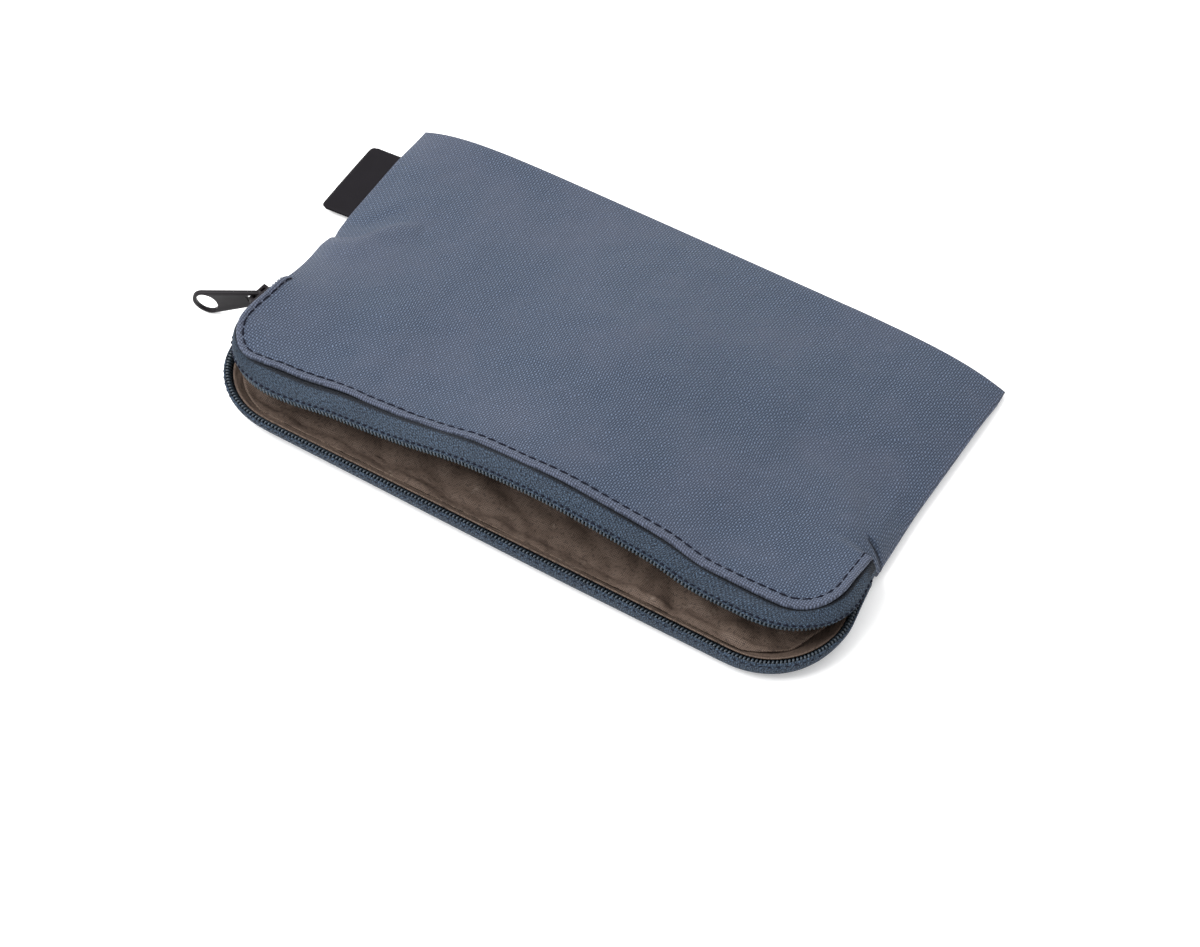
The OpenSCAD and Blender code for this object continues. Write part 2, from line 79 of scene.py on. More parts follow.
# Chalky spots on the upper panel: plan point, radius and strength
WORN_SPOTS = [((-84, 0), 12, 0.4), ((-5, 83), 15, 0.55), ((-73, 80), 20, 0.4)]


# ---------------------------------------------------------------- shape functions
def ease(t):
    """A smooth step from 0 to 1."""
    t = np.clip(t, 0, 1)
    return t * t * (3 - 2 * t)


def unit(v):
    """Vectors scaled to length one."""
    return v / np.maximum(np.linalg.norm(v, axis=-1, keepdims=True), 1e-9)


def to_frame(p):
    """Plan points in mm (x, reach, z) as row-frame points in metres."""
    p = np.asarray(p, float)
    return np.stack([p[..., 0], FAR_Y - p[..., 1], p[..., 2]], -1) * MM


def waves(x, y, size, seed):
    """Smooth random relief with a spread of about one and features about size mm across."""
    count = 16
    draw = np.random.default_rng(seed)
    total = np.zeros_like(np.asarray(x, float))
    for _ in range(count):
        a, p = draw.uniform(0, math.tau, 2)
        k = math.tau / (size * draw.uniform(1.3, 3.0))
        total += np.sin(k * (x * math.cos(a) + y * math.sin(a)) + p)
    return total / math.sqrt(count / 2)


def left_x(reach):
    """The left side edge: a pinch near its middle, then in towards the zip."""
    return (-84.2 + 0.9 * np.exp(-(((reach - 44.5) / 3.2) ** 2)) + 3.6 * ease((reach - 48) / 21)
            - 0.5 * ease((reach - 67.6) / 1.6) - 1.3 * ease((reach - 72) / 12))


def right_x(reach):
    """The right side edge, a little fuller from the far corner onwards."""
    return 85.5 + 0.3 * ease(reach / 4) + 0.9 * ease((reach - 42) / 25)


def round_in(radius, reach):
    """How far a rounded near corner takes the side edge in."""
    past = np.clip(reach - RIM_REACH + radius, 0, radius)
    return radius - np.sqrt(np.maximum(radius ** 2 - past ** 2, 0))


def hump(x):
    """How much the pushed-up lip stands over a plain bell; the edge pulls back with it."""
    broad = 1.35 * ease((x + 62) / 18) * (1 - ease((x - 42) / 14))
    return broad + 0.55 * np.exp(-(((x + 12) / 12) ** 2))


def lip_height(x):
    """Height of the lip's free edge."""
    return 12.8 + ARCH_RISE * np.exp(-(((x - ARCH_X) / ARCH_REACH) ** 2)) + hump(x)


def left_z(reach):
    """Height of the upper panel's left side edge."""
    return (1.9 + 1.2 * ease(reach / 15) + 11.9 * ease((reach - 45) / 30)
            - 1.9 * ease((reach - 84) / 9.4))


def right_z(reach):
    """Height of the upper panel's right side edge."""
    return (1.9 + 1.2 * ease(reach / 15) + 9.9 * ease((reach - 66) / 4.2)
            + 1.5 * ease((reach - 70) / 10) - 1.5 * ease((reach - 83) / 10))


def side_z(u, reach):
    """Height of the side edge that a point belongs to."""
    return np.where(u < 0, left_z(reach), right_z(reach))


def side_power(u, reach):
    """How squarely the panel turns down at its sides."""
    base = 7 - 1.5 * ease(reach / 20)
    return base + np.where(u < 0, 3 * ease((reach - 36) / 14), 13 * ease((reach - 46) / 20))


def front_z(x, u, reach):
    """Height of the upper panel; u runs from -1 at its left edge to 1 at its right."""
    up = 1 - (1 - np.clip(reach / RIM_REACH, 0, 1)) ** 2.2
    mid = FAR_RISE + (lip_height(x) - FAR_RISE) * up
    edge = side_z(u, reach)
    return edge + (mid - edge) * (1 - np.abs(u) ** side_power(u, reach))


def front_half(reach, u):
    """Half the upper panel's width, its near corners rounded."""
    half = (right_x(reach) - left_x(reach)) / 2
    return half - np.where(u < 0, round_in(8.6, reach), round_in(13.0, reach))


def front_plan(u, reach):
    """Plan x of a point on the upper panel."""
    return (right_x(reach) + left_x(reach)) / 2 + u * front_half(reach, u)


# ---------------------------------------------------------------- paths round the mouth
def mouth_path(keys, arch):
    """One edge of the mouth, from its left end round both corners to its right end."""
    k = np.array(keys, float)
    run = np.arange(PATH_RUN)[:, None] / PATH_RUN
    turn = np.arange(PATH_TURN)[:, None] / PATH_TURN
    q = np.radians(90 * turn[:, 0])
    left = k[0] + (k[1] - k[0]) * run
    right = k[4] + (k[5] - k[4]) * run
    ahead = k[2] + (k[3] - k[2]) * (np.arange(PATH_FRONT)[:, None] / PATH_FRONT)
    s = ease(turn[:, 0])
    a, b = k[1], k[2]
    turn_in = np.stack([b[0] + (a[0] - b[0]) * np.cos(q), a[1] + (b[1] - a[1]) * np.sin(q),
                        a[2] + (b[2] - a[2]) * s], 1)
    a, b = k[3], k[4]
    turn_out = np.stack([a[0] + (b[0] - a[0]) * np.sin(q), b[1] + (a[1] - b[1]) * np.cos(q),
                         a[2] + (b[2] - a[2]) * s], 1)
    p = np.concatenate([left, turn_in, ahead, turn_out, right, k[5:6]])
    bell = np.exp(-(((p[:, 0] - ARCH_X) / ARCH_REACH) ** 2))
    near = ease((p[:, 1] - 84) / 8)
    p[:, 2] += arch * bell * near
    if arch:
        p += np.stack([0 * near, -0.6 * hump(p[:, 0]) * near, hump(p[:, 0]) * near], 1)
    for _ in range(12):
        p[1:-1] = p[1:-1] * 0.5 + (p[:-2] + p[2:]) * 0.25
    return p


def tangents(p):
    """Direction of travel at each point of a path."""
    d = np.empty_like(p)
    d[1:-1] = p[2:] - p[:-2]
    d[0], d[-1] = p[1] - p[0], p[-1] - p[-2]
    return unit(d)


def outward(p):
    """Level direction out of the mouth at each point of a path that runs left to right."""
    t = tangents(p)
    return unit(np.stack([-t[:, 1], t[:, 0], np.zeros(len(p))], 1))


def lengths(p):
    """Distance along a path at each of its points."""
    return np.concatenate([[0], np.cumsum(np.linalg.norm(np.diff(p, axis=0), axis=1))])


def carry(values, along, s):
    """Vectors that go with the distances along a path, at the distances s."""
    return np.stack([np.interp(s, along, values[:, i]) for i in range(values.shape[1])], 1)


def sample(p, s):
    """Points of a path at distances s along it."""
    return carry(p, lengths(p), s)


def near_path(path, x, reach):
    """Distance in plan from each point to a path, and how far along the path that is."""
    best = np.full(x.shape, 1e9)
    where = np.zeros(x.shape)
    along = lengths(path)
    for i in range(len(path) - 1):
        a, d = path[i, :2], path[i + 1, :2] - path[i, :2]
        n = max(float(d @ d), 1e-12)
        t = np.clip(((x - a[0]) * d[0] + (reach - a[1]) * d[1]) / n, 0, 1)
        gap = np.hypot(x - a[0] - t * d[0], reach - a[1] - t * d[1])
        closer = gap < best
        best = np.where(closer, gap, best)
        where = np.where(closer, along[i] + t * math.sqrt(n), where)
    return best, where


def fold(x, reach, points, width, height, far=None, start=0.0):
    """A fold along a few plan points, fading out at its ends; far is its width on the far side."""
    path = np.array([(a, b, 0) for a, b in points], float)
    gap, where = near_path(path, x, reach)
    t = where / lengths(path)[-1]
    beyond = reach < np.interp(x, *np.array(sorted(points)).T)
    wide = np.where(beyond, far or width, width)
    fade = np.clip(np.sin(math.pi * np.clip(start + (1 - start) * t, 0, 1)), 0, 1) ** 0.5
    return height * np.exp(-((gap / wide) ** 2)) * fade


# ---------------------------------------------------------------- meshes
def make(name, verts, faces, uv, values=None):
    """A smooth-shaded mesh object with UVs and named values at its points."""
    mesh = bpy.data.meshes.new(name)
    mesh.from_pydata(np.asarray(verts, float).tolist(), [], [list(map(int, f)) for f in faces])
    mesh.validate()
    layer = mesh.uv_layers.new(name="UVMap")
    loops = np.empty(len(mesh.loops), int)
    mesh.loops.foreach_get("vertex_index", loops)
    layer.data.foreach_set("uv", np.asarray(uv, np.float32)[loops].ravel())
    for key, value in (values or {}).items():
        attribute = mesh.attributes.new(key, "FLOAT", "POINT")
        attribute.data.foreach_set("value", np.asarray(value, np.float32).ravel())
    mesh.polygons.foreach_set("use_smooth", [True] * len(mesh.polygons))
    mesh.update()
    obj = bpy.data.objects.new(name, mesh)
    bpy.context.scene.collection.objects.link(obj)
    return obj


def grid_faces(n, m, ids):
    """Four-sided faces over an n by m grid of vertex numbers."""
    return [(ids[i, j], ids[i + 1, j], ids[i + 1, j + 1], ids[i, j + 1])
            for i in range(n - 1) for j in range(m - 1)]


def shell(name, top, bottom, uv, values=None):
    """A closed sheet whose top and bottom meet along their shared border."""
    n, m = top.shape[:2]
    upper = np.arange(n * m).reshape(n, m)
    lower = upper.copy()
    inner = np.arange((n - 2) * (m - 2)).reshape(n - 2, m - 2) + n * m
    lower[1:-1, 1:-1] = inner
    verts = np.concatenate([to_frame(top).reshape(-1, 3), to_frame(bottom)[1:-1, 1:-1].reshape(-1, 3)])
    faces = grid_faces(n, m, upper) + [f[::-1] for f in grid_faces(n, m, lower)]

    def both(a):
        return np.concatenate([a.reshape(n * m, -1), a[1:-1, 1:-1].reshape(inner.size, -1)])

    return make(name, verts, faces, both(uv), {k: both(v[..., None]) for k, v in (values or {}).items()})


def grid_normals(g):
    """Directions out of the sheet at each grid point."""
    di = np.gradient(g, axis=0)
    dj = np.gradient(g, axis=1)
    return unit(np.cross(dj, di))


def strip(name, grid, thickness, uv, values=None):
    """A closed sheet of even thickness on a grid of plan points."""
    n, m = grid.shape[:2]
    p = to_frame(grid)
    normal = grid_normals(p) * thickness * MM / 2
    ids = np.arange(n * m).reshape(n, m)
    low = ids + n * m
    faces = grid_faces(n, m, ids) + [f[::-1] for f in grid_faces(n, m, low)]
    ring = list(ids[:, 0]) + list(ids[-1, 1:]) + list(ids[-2::-1, -1]) + list(ids[0, -2:0:-1])
    for a, b in zip(ring, ring[1:] + ring[:1]):
        faces.append((a, a + n * m, b + n * m, b))
    flat = p.reshape(-1, 3)
    shift = normal.reshape(-1, 3)

    def two(a):
        return np.concatenate([a.reshape(n * m, -1)] * 2)

    return make(name, np.concatenate([flat - shift, flat + shift]), [f[::-1] for f in faces], two(uv),
                {k: two(v[..., None]) for k, v in (values or {}).items()})


def frames(p):
    """Tangent, side and up directions along a path, without twist."""
    t = tangents(p)
    side = np.empty_like(p)
    s = np.cross(t[0], [0, 0, 1.0])
    s = s if np.linalg.norm(s) > 0.1 else np.array([1.0, 0, 0])
    for i in range(len(p)):
        s = s - t[i] * (s @ t[i])
        s = s / max(np.linalg.norm(s), 1e-9)
        side[i] = s
    return t, side, np.cross(t, side)


def tube_data(p, radius, sides=6):
    """Vertices, faces and UV of a tube along row-frame points in metres."""
    n = len(p)
    _, side, up = frames(p)
    r = np.broadcast_to(np.asarray(radius, float), (n,))[:, None, None]
    a = np.arange(sides) / sides * math.tau
    ring = (side[:, None] * np.cos(a)[None, :, None] + up[:, None] * np.sin(a)[None, :, None]) * r
    verts = (p[:, None] + ring).reshape(-1, 3)
    faces = []
    for i in range(n - 1):
        for k in range(sides):
            a0, a1 = i * sides + k, i * sides + (k + 1) % sides
            faces.append((a0, a1, a1 + sides, a0 + sides))
    faces.append(tuple(range(sides))[::-1])
    faces.append(tuple((n - 1) * sides + k for k in range(sides)))
    along = np.repeat(lengths(p) * 1000 / 100, sides)
    uv = np.stack([along, np.tile(np.arange(sides) / sides, n)], 1)
    return verts, faces, uv


def tubes(name, paths, radius, sides=6, end_share=1.0):
    """Many threads in one mesh; each path is in row-frame metres."""
    verts, faces, uvs, base = [], [], [], 0
    for p in paths:
        n = len(p)
        r = np.full(n, radius)
        r[0] = r[-1] = radius * end_share
        v, f, uv = tube_data(np.asarray(p), r, sides)
        verts.append(v)
        uvs.append(uv)
        faces += [tuple(i + base for i in q) for q in f]
        base += len(v)
    return make(name, np.concatenate(verts), faces, np.concatenate(uvs))


# ---------------------------------------------------------------- materials
# Colours are linear, and bump distances are in metres.
class Shader:
    """A small helper that wires one node material."""

    def __init__(self, name):
        self.mat = bpy.data.materials.new(name)
        self.mat.use_nodes = True
        self.tree = self.mat.node_tree
        self.tree.nodes.clear()
        self.out = self.tree.nodes.new("ShaderNodeOutputMaterial")
        self.bsdf = self.tree.nodes.new("ShaderNodeBsdfPrincipled")
        self.tree.links.new(self.bsdf.outputs[0], self.out.inputs[0])

    def put(self, socket, value):
        """Link a socket to another node's output, or set its value."""
        if isinstance(value, bpy.types.NodeSocket):
            self.tree.links.new(value, socket)
        elif isinstance(value, (tuple, list)) and len(value) == 3 and socket.type == "RGBA":
            socket.default_value = (*value, 1)
        else:
            socket.default_value = value

    def node(self, kind, inputs=(), **props):
        """A new node; inputs maps its socket names or numbers to values."""
        n = self.tree.nodes.new(kind)
        for k, v in props.items():
            setattr(n, k, v)
        for k, v in dict(inputs).items():
            self.put(n.inputs[k], v)
        return n

    def math(self, op, a, b=0.0):
        return self.node("ShaderNodeMath", {0: a, 1: b}, operation=op).outputs[0]

    def add(self, a, b):
        return self.math("ADD", a, b)

    def mul(self, a, b):
        return self.math("MULTIPLY", a, b)

    def mix(self, share, a, b):
        """From colour a to colour b."""
        n = self.node("ShaderNodeMix", data_type="RGBA", clamp_factor=True)
        for i, v in ((0, share), (6, a), (7, b)):
            self.put(n.inputs[i], v)
        return n.outputs[2]

    def between(self, share, a, b):
        """From number a to number b."""
        n = self.node("ShaderNodeMix", data_type="FLOAT", clamp_factor=True)
        for i, v in ((0, share), (2, a), (3, b)):
            self.put(n.inputs[i], v)
        return n.outputs[0]

    def ramp(self, value, low, high):
        """A smooth step from 0 at low to 1 at high."""
        return self.node("ShaderNodeMapRange", {0: value, 1: low, 2: high, 3: 0.0, 4: 1.0},
                         interpolation_type="SMOOTHSTEP").outputs[0]

    def noise(self, where, scale, detail=2.0, rough=0.5):
        return self.node("ShaderNodeTexNoise", {"Vector": where, "Scale": scale, "Detail": detail,
                                                "Roughness": rough}).outputs[0]

    def uv(self, scale=1.0):
        """UV in hundreds of millimetres, scaled."""
        source = self.node("ShaderNodeTexCoord").outputs["UV"]
        return self.node("ShaderNodeVectorMath", {0: source, 3: scale}, operation="SCALE").outputs[0]

    def place(self):
        """Object coordinates, in metres."""
        return self.node("ShaderNodeTexCoord").outputs["Object"]

    def attribute(self, name):
        return self.node("ShaderNodeAttribute", attribute_name=name).outputs["Fac"]

    def bump(self, height, strength, distance, normal=None):
        n = self.node("ShaderNodeBump", {"Height": height, "Strength": strength, "Distance": distance})
        if normal is not None:
            self.put(n.inputs["Normal"], normal)
        return n.outputs[0]

    def finish(self, **sockets):
        """Fill in the main shader's sockets and return the material."""
        for k, v in sockets.items():
            self.put(self.bsdf.inputs[k.replace("_", " ")], v)
        return self.mat


def weave(s, pitch, wobble=0.3):
    """Plain weave: height, thread number across and along, and which thread is on top."""
    n = 100 / pitch
    drift = s.add(s.mul(s.noise(s.uv(), 34, 3), wobble * 6), -wobble * 3)
    split = s.node("ShaderNodeSeparateXYZ", {0: s.uv(n)})
    x, y = s.add(split.outputs[0], drift), s.add(split.outputs[1], drift)
    fx, fy = s.math("FRACT", x), s.math("FRACT", y)
    cx, cy = s.math("FLOOR", x), s.math("FLOOR", y)
    over = s.math("MODULO", s.math("ABSOLUTE", s.add(cx, cy)), 2.0)
    a, b = s.math("SINE", s.mul(fx, math.pi)), s.math("SINE", s.mul(fy, math.pi))
    warp = s.mul(a, s.add(s.mul(b, 0.5), 0.5))
    weft = s.mul(b, s.add(s.mul(a, 0.5), 0.5))
    height = s.between(over, warp, weft)
    return height, cx, cy, over


def thread_tint(s, cx, cy, over):
    """A slightly different shade for each thread."""
    one = s.node("ShaderNodeTexWhiteNoise", {"W": cx}, noise_dimensions="1D").outputs[0]
    two = s.node("ShaderNodeTexWhiteNoise", {"W": s.add(cy, 91.0)}, noise_dimensions="1D").outputs[0]
    return s.between(over, one, two)


def canvas_material():
    """Waxed two-tone canvas with pale rubbed patches and fine scratches."""
    s = Shader("waxed_canvas")
    height, cx, cy, over = weave(s, 0.64)
    tint = thread_tint(s, cx, cy, over)
    relief = s.ramp(height, 0.25, 0.95)
    thread = s.mix(over, (0.106, 0.141, 0.211), (0.053, 0.075, 0.119))
    # Painted shade: the gaps between threads are near-black.
    body = s.mix(relief, (0.012, 0.021, 0.041), thread)
    body = s.mix(s.mul(tint, 0.30), body, (0.042, 0.060, 0.096))
    patches = s.ramp(s.noise(s.uv(), 3.2, 6, 0.62), 0.42, 0.66)
    body = s.mix(s.mul(patches, 0.32), body, (0.082, 0.090, 0.126))
    scratches = s.ramp(s.noise(s.uv(), 16, 8, 0.7), 0.58, 0.74)
    body = s.mix(s.mul(scratches, 0.28), body, (0.098, 0.108, 0.148))
    worn = s.attribute("worn")
    # In worn places the thread tops are paler, which is real wear, and the gaps are painted darker as
    # shade.
    chalk = s.mix(relief, (0.042, 0.047, 0.068), (0.112, 0.127, 0.184))
    body = s.mix(s.mul(worn, 0.62), body, chalk)
    # Painted shade: near-black in each needle hole and along the crease by the right ear.
    body = s.mix(s.attribute("hole_and_crease_shade"), body, (0.003, 0.004, 0.007))
    lumps = s.bump(s.noise(s.uv(), 30, 5, 0.6), 0.35, 0.00022)
    normal = s.bump(height, 1.0, 0.00024, lumps)
    rough = s.add(s.mul(patches, 0.12), 0.66)
    return s.finish(Base_Color=body, Roughness=rough, Normal=normal, Sheen_Weight=0.06,
                    Sheen_Roughness=0.5, Specular_IOR_Level=0.25)


def tape_material():
    """The zip's coarse speckled tape; shade is painted shade that darkens it in the shadow of the hem, at
    the upper tape's right end and evenly over the lower tape.
    """
    s = Shader("zip_tape")
    height, _, _, over = weave(s, 0.56, 0.8)
    speck = s.ramp(s.noise(s.uv(), 170, 2, 0.6), 0.44, 0.60)
    thread = s.mix(over, (0.066, 0.103, 0.158), (0.020, 0.035, 0.059))
    # Painted shade: the gaps between threads are near-black.
    body = s.mix(s.ramp(height, 0.25, 0.9), (0.004, 0.008, 0.015), thread)
    body = s.mix(s.mul(speck, 0.50), body, (0.072, 0.109, 0.164))
    grime = s.ramp(s.noise(s.uv(), 5, 4, 0.6), 0.35, 0.7)
    body = s.mix(s.mul(grime, 0.22), body, (0.016, 0.023, 0.036))
    body = s.mix(s.attribute("shade"), body, (0.003, 0.005, 0.010))
    normal = s.bump(s.add(height, s.mul(speck, 0.6)), 1.0, 0.00026)
    return s.finish(Base_Color=body, Roughness=0.82, Normal=normal, Sheen_Weight=0.05,
                    Specular_IOR_Level=0.2)


def lining_material():
    """Thin brown lining cloth, spotted and rubbed."""
    s = Shader("lining_cloth")
    height, _, _, _ = weave(s, 0.42, 0.4)
    # Painted shade: the gaps between threads are darker.
    body = s.mix(s.ramp(height, 0.1, 0.9), (0.042, 0.028, 0.021), (0.145, 0.103, 0.080))
    spots = s.ramp(s.noise(s.uv(), 120, 3, 0.7), 0.52, 0.62)
    body = s.mix(s.mul(spots, 0.6), body, (0.022, 0.015, 0.012))
    pale = s.ramp(s.noise(s.uv(), 26, 7, 0.75), 0.58, 0.72)
    body = s.mix(s.mul(pale, 0.5), body, (0.27, 0.22, 0.18))
    normal = s.bump(height, 0.6, 0.00010, s.bump(s.noise(s.uv(), 14, 5, 0.6), 0.6, 0.0006))
    return s.finish(Base_Color=body, Roughness=0.7, Normal=normal, Specular_IOR_Level=0.25)


def thread_material():
    """Dark twisted sewing thread."""
    colour, twist = (0.003, 0.004, 0.010), 9.0
    s = Shader("stitch_thread")
    split = s.node("ShaderNodeSeparateXYZ", {0: s.uv(100)})
    phase = s.add(s.mul(split.outputs[0], twist), s.mul(split.outputs[1], 0.0628))
    ply = s.add(s.mul(s.math("SINE", phase), 0.5), 0.5)
    pale = tuple(min(1.0, c * 2.2 + 0.004) for c in colour)
    # Painted light and shade: the twist's crests are paler and its grooves darker.
    body = s.mix(s.mul(ply, 0.5), colour, pale)
    return s.finish(Base_Color=body, Roughness=0.62, Normal=s.bump(ply, 0.5, 0.00006),
                    Specular_IOR_Level=0.1)


def coil_material(name, low, high):
    """Smooth nylon wire between two shades."""
    s = Shader(name)
    tone = s.noise(s.uv(), 60, 3)
    body = s.mix(tone, low, high)
    fine = s.bump(s.noise(s.uv(), 420, 2), 0.15, 0.00004)
    return s.finish(Base_Color=body, Roughness=0.38, Normal=fine, Specular_IOR_Level=0.5)


def label_material():
    """Matt black rubber with a fine grain."""
    s = Shader("label_rubber")
    grain = s.noise(s.place(), 2600, 3, 0.6)
    body = s.mix(s.noise(s.place(), 160, 4), (0.0050, 0.0042, 0.0056), (0.0090, 0.0076, 0.0100))
    rough = s.add(s.mul(s.noise(s.place(), 300, 3), 0.2), 0.55)
    return s.finish(Base_Color=body, Roughness=rough, Normal=s.bump(grain, 0.25, 0.00006),
                    Specular_IOR_Level=0.1)


def metal_material():
    """Black paint on cast zinc, rubbed thin along the edges."""
    s = Shader("painted_zinc")
    tone = s.noise(s.place(), 700, 4, 0.6)
    body = s.mix(tone, (0.006, 0.0048, 0.006), (0.011, 0.0088, 0.011))
    edge = s.ramp(s.node("ShaderNodeNewGeometry").outputs["Pointiness"], 0.52, 0.60)
    body = s.mix(s.mul(edge, 0.5), body, (0.06, 0.056, 0.06))
    rough = s.add(s.mul(tone, 0.18), 0.33)
    return s.finish(Base_Color=body, Roughness=rough, Metallic=0.0, Specular_IOR_Level=0.10,
                    Normal=s.bump(s.noise(s.place(), 1800, 2), 0.12, 0.00005))


def floor_material():
    """A plain white table top that glows a little: painted light that lifts its shadows."""
    s = Shader("pale_floor_glowing")
    body = s.mix(s.noise(s.place(), 3, 3), (0.86, 0.86, 0.86), (0.88, 0.88, 0.88))
    # Painted light: the floor glows a little, so its shadows fade.
    return s.finish(Base_Color=body, Roughness=0.9, Specular_IOR_Level=0.1, Emission_Color=body,
                    Emission_Strength=0.25)


# ---------------------------------------------------------------- canvas panels
def closing_rows(start, end, count):
    """Reaches from start to end that crowd towards the end, as a rounded corner needs."""
    return start + (end - start) * np.sin(np.linspace(0, math.pi / 2, count))


def front_rows():
    """Reaches of the upper panel's grid rows, close together where the cloth turns or folds."""
    turn = closing_rows(80.4, RIM_REACH, 44)
    return np.concatenate([np.linspace(0, 2.4, 9), np.linspace(3, 60.8, 88), np.linspace(61.1, 71.6, 36),
                           np.linspace(72.2, 79.7, 13), turn])


def panel_columns(inner=176):
    """A panel's columns from -1 to 1, close together along both side edges."""
    edge = np.array([0, 0.05, 0.15, 0.3, 0.5, 0.75, 1.05, 1.4, 1.8, 2.3, 2.9, 3.5, 4.1, 4.8, 5.6, 6.5])
    near = 1 - edge / HALF_WIDTH
    return np.concatenate([-near, np.linspace(-0.915, 0.915, inner), near[::-1]])


def near_bulge(x, reach):
    """The turned edge stands further out beside the left corner, and pulls back where it arches."""
    corner = 0.9 * np.exp(-(((x + 74) / 7) ** 2)) * ease((reach - 86) / 7)
    return corner - 0.6 * hump(x) * ease((reach - 84) / 8)


def front_outline():
    """The upper panel's edge from the left zip end round to the right zip end."""
    rows = np.concatenate([np.linspace(62, 79.8, 40), closing_rows(80.4, RIM_REACH, 60)])
    left = np.stack([front_plan(np.full_like(rows, -1.0), rows), rows], 1)
    right = np.stack([front_plan(np.full_like(rows, 1.0), rows), rows], 1)[::-1]
    across = np.linspace(left[-1, 0], right[0, 0], 160)[1:-1]
    front = np.stack([across, np.full_like(across, RIM_REACH)], 1)
    both = np.concatenate([left, front, right])
    both[:, 1] += near_bulge(both[:, 0], both[:, 1])
    return np.concatenate([both, np.zeros((len(both), 1))], 1)


def edge_gap(u, x, reach):
    """Distance in plan to the nearest free edge of the upper panel."""
    rim, along = near_path(front_outline(), x, reach)
    side = (1 - np.abs(u)) * HALF_WIDTH
    gap = np.minimum(np.minimum(np.where(reach > 64, rim, 1e9), np.where(reach > 80, 1e9, side)), reach)
    return gap, rim, along


def rolled(gap, radius):
    """Share of the full thickness at a gap from a rounded edge."""
    return np.sqrt(np.clip(1 - (1 - np.clip(gap / radius, 0, 1)) ** 2, 0, 1))


def cloth_relief(x, reach):
    """Folds and soft unevenness of the upper panel, in mm."""
    z = 0.30 * waves(x, reach, 34, 3) + 0.11 * waves(x, reach, 13, 5) + 0.04 * waves(x, reach, 5, 7)
    z = z * ease(reach / 12) * ease((86 - np.abs(x)) / 12)
    z += fold(x, reach, PINCH_FOLD, 5.0, 1.8, 1.3, 0.25)
    z += fold(x, reach, PINCH_HOLLOW, 2.6, -0.8)
    z += fold(x, reach, EAR_CREASE, 0.5, -1.2, 0.7, 0.3)
    z += fold(x, reach, EAR_RIDGE, 1.8, 0.45)
    z += fold(x, reach, EAR_HOLLOW, 2.4, -0.5)
    return z


def stitch_inset(x):
    """The hem is narrow at the left and widest by the right corner."""
    return np.interp(x, [-84, -70, -30, 0, 50, 80, 88], [1.6, 1.7, 1.7, 2.0, 2.2, 2.6, 2.2])


def turned_zone(u, reach):
    """Where the panel's edge is turned under and stitched."""
    return np.where(u < 0, ease((reach - 67.5) / 0.8), ease((reach - 69.2) / 0.8))


def front_wear(x, reach, gap, turned):
    """Where the wax has rubbed pale: edges, the turned hem, the pinch fold and a few spots."""
    worn = turned * 0.55 + ease((2.0 - gap) / 2.0) * 0.5
    worn = worn + 0.45 * fold(x, reach, PINCH_FOLD, 4, 1, 1.6, 0.25)
    for at, out, share in WORN_SPOTS:
        worn = worn + share * ease((out - np.hypot(x - at[0], reach - at[1])) / out)
    return np.clip(worn, 0, 1)


def cloth_uv(x, reach, base, top):
    """UV that follows the cloth's length across the panel, so that the weave isn't stretched."""
    run = np.hypot(np.diff(x, axis=1), np.diff(base, axis=1))
    arc = np.concatenate([np.zeros_like(x[:, :1]), np.cumsum(run, 1)], 1)
    arc -= arc[:, x.shape[1] // 2, None]
    return np.stack([arc, reach + 0.25 * top], -1) / 100


def front_canvas():
    """The upper panel, its near edge turned under and stitched."""
    reach, u = np.meshgrid(front_rows(), panel_columns(), indexing="ij")
    x = front_plan(u, reach)
    base = front_z(x, u, reach) + cloth_relief(x, reach)
    plan = reach + near_bulge(x, reach)
    gap, rim, along = edge_gap(u, x, plan)
    zone = turned_zone(u, reach)
    inset = stitch_inset(x)
    turned = ease((inset + 0.6 - rim) / 0.8) * zone
    thick = CLOTH_T + 0.5 * turned
    round_off = rolled(gap, np.where(reach > 66, 0.7, 0.6))
    needle = 0.5 + 0.5 * np.cos(math.tau * along / HEM_PITCH)
    seam = 0.30 * np.exp(-(((rim - inset) / 0.45) ** 2)) * zone * (0.75 + 0.25 * needle)
    pucker = 0.07 * np.exp(-(((rim - 1.6) / 1.3) ** 2)) * zone * (needle - 0.5)
    lift = HEM_LIFT * turned
    top = base + lift - seam - pucker - thick / 2 * (1 - round_off)
    bottom = base + lift - thick + thick / 2 * (1 - round_off)
    # Painted shade: the crease by the right ear and each needle hole are darkened in the colour.
    creased = 0.85 * fold(x, reach, EAR_CREASE, 0.32, 1, 0.45, 0.3)
    hole_shade = np.exp(-(((rim - inset) / 0.28) ** 2)) * zone * np.clip(needle * 6 - 5, 0, 1)
    obj = shell("canvas_front", np.stack([x, plan, top], -1), np.stack([x, plan, bottom], -1),
                cloth_uv(x, reach, base, top),
                {"worn": front_wear(x, reach, gap, turned), "hole_and_crease_shade": np.maximum(hole_shade, creased)})
    obj.data.materials.append(CANVAS)
    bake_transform(obj)
    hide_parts("front_panel", "front_lip")
    return obj


def back_round(reach):
    """How far the back panel's rounded near corners take its sides in."""
    t = np.clip((reach - 84) / 19, 0, 1)
    return 20 * (1 - np.sqrt(np.maximum(0, 1 - t * t)))


def back_side(u, reach):
    """The side edges follow the upper panel's up to the zip's ends."""
    label = ease((reach - 5) / 5) * (1 - ease((reach - 35) / 5))
    pinch = 1.3 * np.exp(-(((reach - 45.2) / 3.5) ** 2))
    left = np.maximum(0, left_z(reach) - 1.95 - 1.35 * label + pinch) * (1 - ease((reach - 66.4) / 3.4))
    right = np.maximum(0, right_z(reach) - 1.95) * (1 - ease((reach - 68.6) / 2.4))
    return 0.5 * ease(reach / 15) * (1 - ease((reach - 63) / 6)) + np.where(u < 0, left, right)


